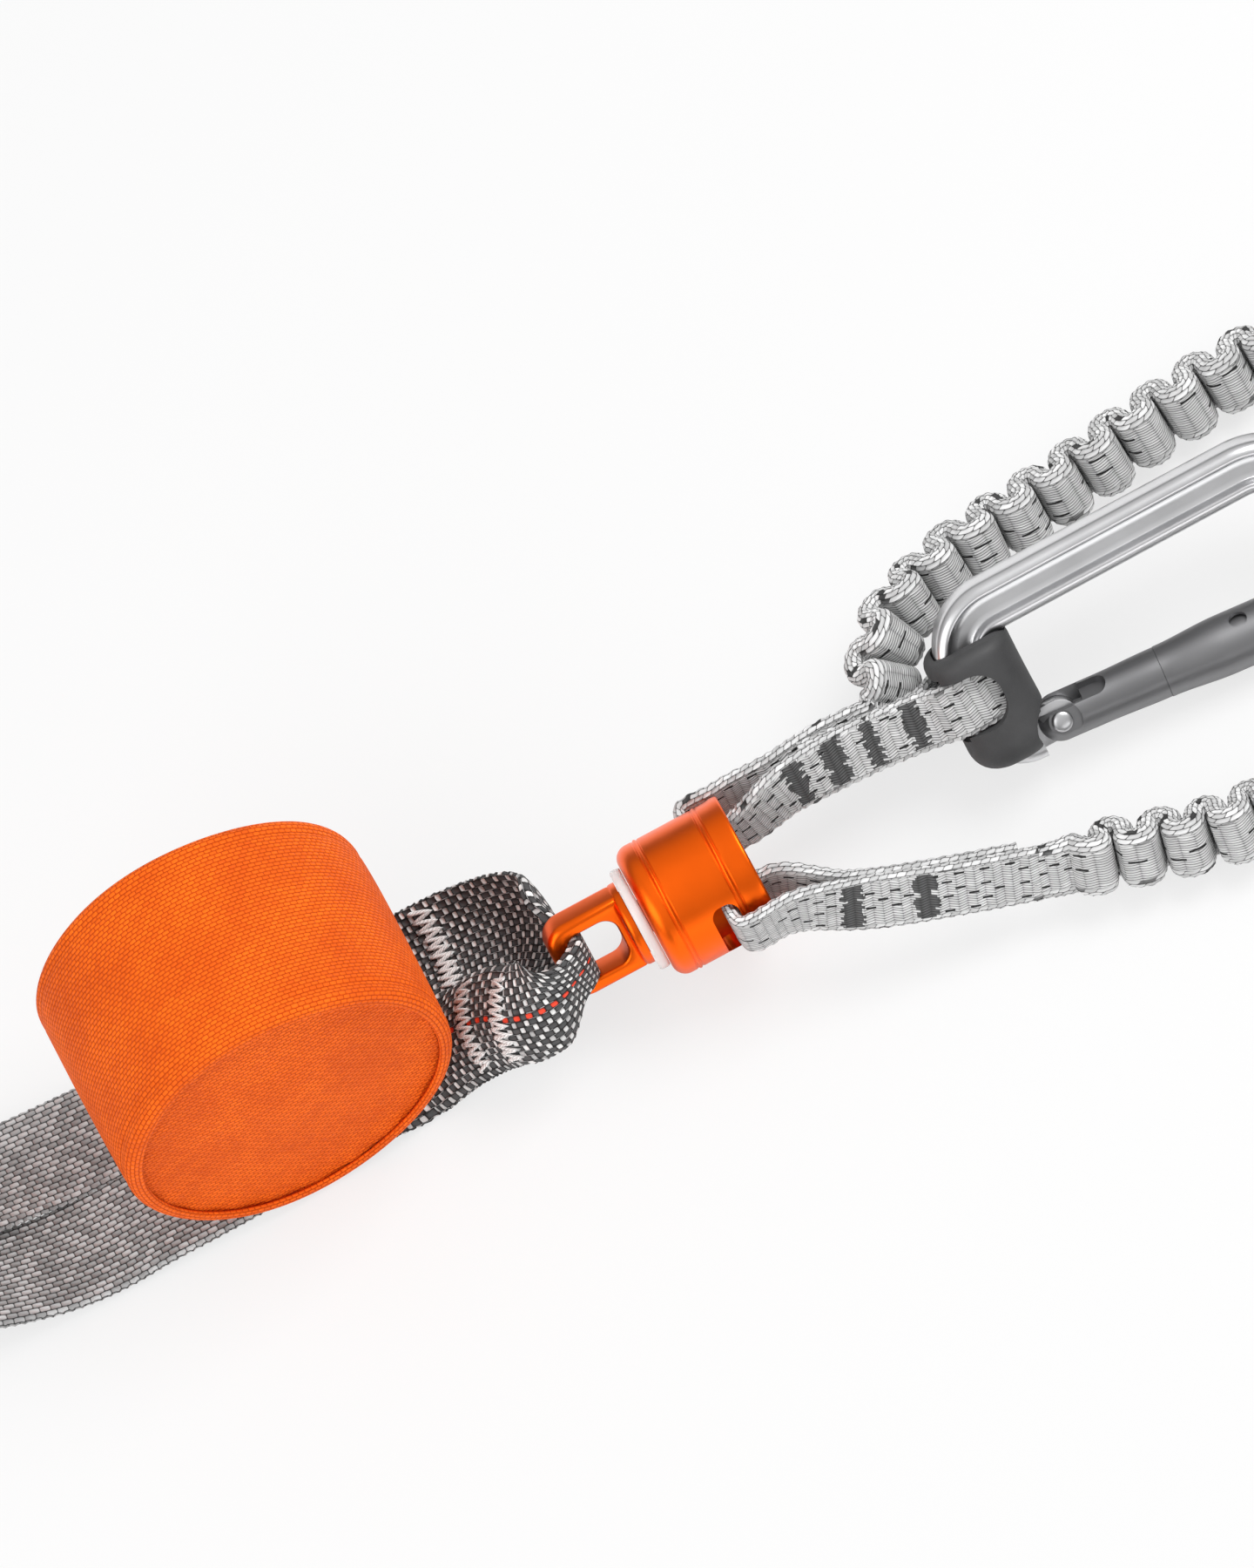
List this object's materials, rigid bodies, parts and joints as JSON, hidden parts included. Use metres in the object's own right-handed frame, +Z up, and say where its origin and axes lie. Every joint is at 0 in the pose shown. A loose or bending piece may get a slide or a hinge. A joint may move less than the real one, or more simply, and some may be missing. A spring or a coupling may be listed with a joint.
{
  "type": "via ferrata lanyard",
  "caption": "Via ferrata lanyard: fabric absorber pouch, tie-in loop, swivel, elastic arms, small rest carabiner and palm-lock connectors.",
  "frame": {"origin": "below the middle of the lanyard's own box, arms' elastic stretches and palm connectors left out, at the height it lies on", "axes": "+X from the pouch towards the arms, +Y away from the viewer of the picture, +Z up"},
  "size_m": [0.6516, 0.2047, 0.08],
  "materials": {
    "cloth": "plain woven cloth",
    "grey_webbing": "ribbed webbing",
    "black_webbing": "woven webbing",
    "orange_metal": "satin anodised",
    "silver_metal": "satin",
    "dark_metal": "satin anodised",
    "steel": "plain",
    "clear_plastic": "translucent",
    "rubber": "matte"
  },
  "bodies": {
    "absorber": {"pouch_side_panel": "cloth", "pouch_front_panel": "cloth", "pouch_back_panel": "cloth", "tear_webbing_pack": "grey_webbing", "swivel_loop_webbing": "black_webbing", "tie_in_loop_webbing": "grey_webbing", "swivel_eye": "orange_metal", "swivel_lock_pin": "steel", "outer_washer": "clear_plastic", "thrust_washer": "steel", "retaining_nut": "steel"},
    "arms": {"swivel_body": "orange_metal", "upper_arm_webbing": "grey_webbing", "lower_arm_webbing": "grey_webbing", "upper_arm_bellows": "grey_webbing", "lower_arm_bellows": "grey_webbing", "upper_arm_end_loop": "grey_webbing", "lower_arm_end_loop": "grey_webbing", "rest_carabiner_frame": "silver_metal", "rest_carabiner_gate_rivet": "steel", "rest_carabiner_keeper": "rubber", "upper_connector_frame": "silver_metal", "upper_connector_gate_rivet": "steel", "upper_connector_lever_rivet": "steel", "upper_connector_keeper": "rubber", "lower_connector_frame": "silver_metal", "lower_connector_gate_rivet": "steel", "lower_connector_lever_rivet": "steel", "lower_connector_keeper": "rubber"},
    "rest_gate": {"rest_carabiner_gate": "dark_metal", "rest_carabiner_gate_pusher": "steel", "rest_carabiner_gate_spring": "steel"},
    "rest_sleeve": {"rest_locking_sleeve": "dark_metal"},
    "upper_connector_gate": {"upper_connector_gate": "silver_metal", "upper_connector_gate_pusher": "steel", "upper_connector_gate_spring": "steel"},
    "upper_connector_lever": {"upper_connector_palm_lever": "dark_metal"},
    "lower_connector_gate": {"lower_connector_gate": "silver_metal", "lower_connector_gate_pusher": "steel", "lower_connector_gate_spring": "steel"},
    "lower_connector_lever": {"lower_connector_palm_lever": "dark_metal"}
  },
  "joints": [
    {"name": "swivel_turn", "type": "hinge", "parent": "absorber", "child": "arms", "pos_m": [0.0386, -0.00322, 0.025], "axis": [1, 0, 0], "continuous": true},
    {"name": "rest_gate_hinge", "type": "hinge", "parent": "arms", "child": "rest_gate", "pos_m": [0.1428, -0.00112, 0.0116], "axis": [0, -0.7071, 0.7071], "range_deg": [0, 22], "stiffness_Nm_per_rad": 0.3},
    {"name": "rest_sleeve_twist", "type": "hinge", "parent": "rest_gate", "child": "rest_sleeve", "pos_m": [0.1428, -0.00112, 0.0116], "axis": [0.9962, -0.0616, -0.0616], "range_deg": [0, 80], "stiffness_Nm_per_rad": 0.02},
    {"name": "upper_connector_gate_hinge", "type": "hinge", "parent": "arms", "child": "upper_connector_gate", "pos_m": [0.3116, -0.03422, 0.0118], "axis": [0, 0, 1], "range_deg": [0, 26], "stiffness_Nm_per_rad": 0.4},
    {"name": "upper_connector_lever_hinge", "type": "hinge", "parent": "arms", "child": "upper_connector_lever", "pos_m": [0.3246, 0.01378, 0.0118], "axis": [0, 0, -1], "range_deg": [0, 5], "stiffness_Nm_per_rad": 1},
    {"name": "lower_connector_gate_hinge", "type": "hinge", "parent": "arms", "child": "lower_connector_gate", "pos_m": [0.3116, -0.12222, 0.0118], "axis": [0, 0, 1], "range_deg": [0, 26], "stiffness_Nm_per_rad": 0.4},
    {"name": "lower_connector_lever_hinge", "type": "hinge", "parent": "arms", "child": "lower_connector_lever", "pos_m": [0.3246, -0.07422, 0.0118], "axis": [0, 0, -1], "range_deg": [0, 5], "stiffness_Nm_per_rad": 1}
  ]
}
